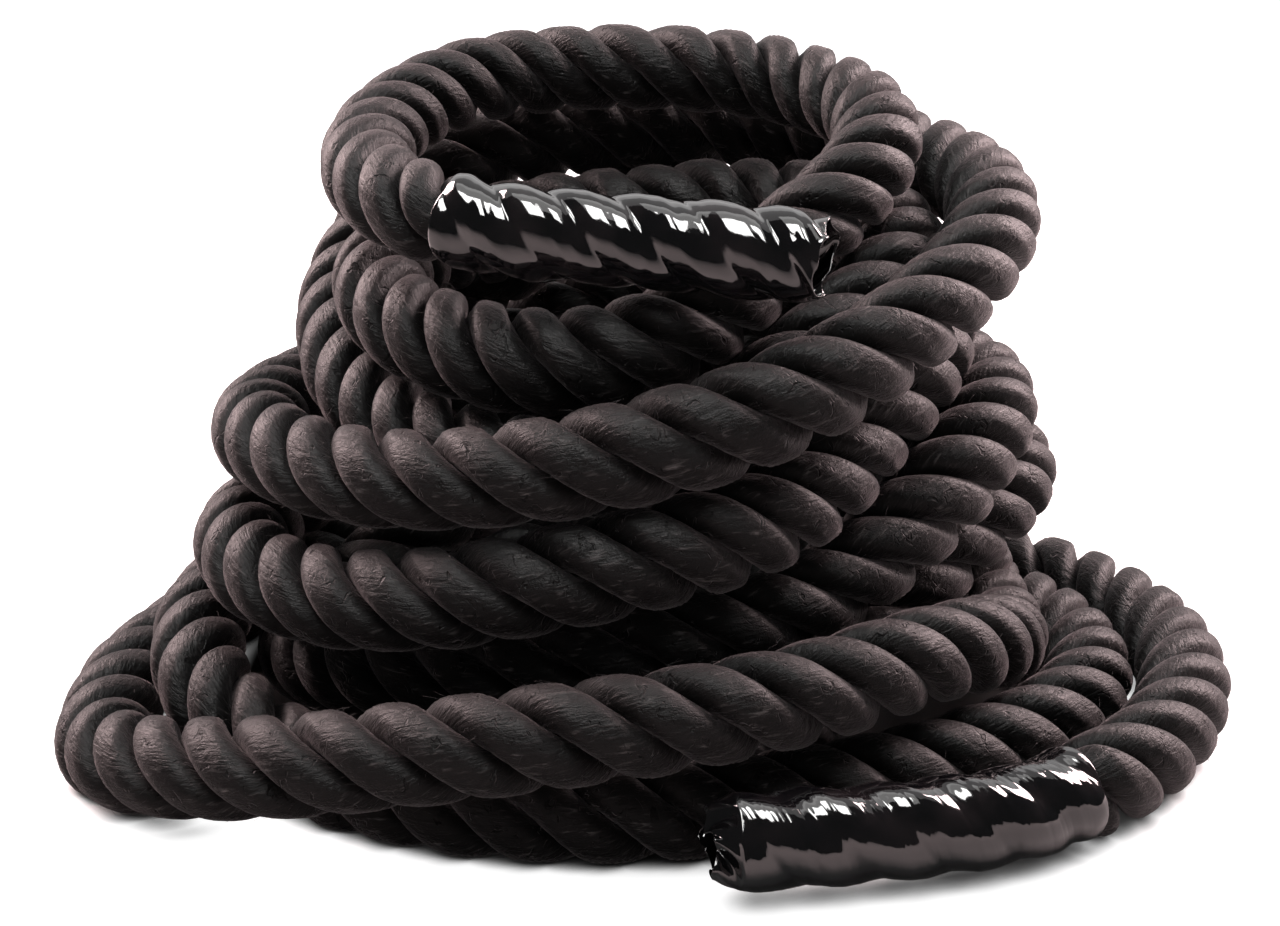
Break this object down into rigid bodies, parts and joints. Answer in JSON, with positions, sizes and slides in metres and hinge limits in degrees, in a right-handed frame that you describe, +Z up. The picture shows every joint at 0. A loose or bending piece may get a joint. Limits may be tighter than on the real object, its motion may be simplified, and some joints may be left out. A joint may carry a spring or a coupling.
{
  "type": "battle rope",
  "caption": "Heavy black laid training rope piled in a leaning cone of rising turns round a hollow middle, with a glossy shrunk grip sleeve on each end.",
  "frame": {"origin": "on the ground, under the middle of the pile's bounding box", "axes": "+Z up; -Y towards the front, where both grip sleeves lie; +X to the right as seen from the front"},
  "size_m": [0.4727, 0.4595, 0.2607],
  "materials": {
    "rope_yarn": "matt twisted yarn with a soft sheen",
    "sleeve_film": "glossy shrunk film",
    "end_tape": "satin cloth tape"
  },
  "bodies": {
    "root": {"rope": "rope_yarn", "grip_sleeve_top": "sleeve_film", "grip_sleeve_floor": "sleeve_film", "end_tape_top": "end_tape", "end_tape_floor": "end_tape"}
  },
  "joints": []
}
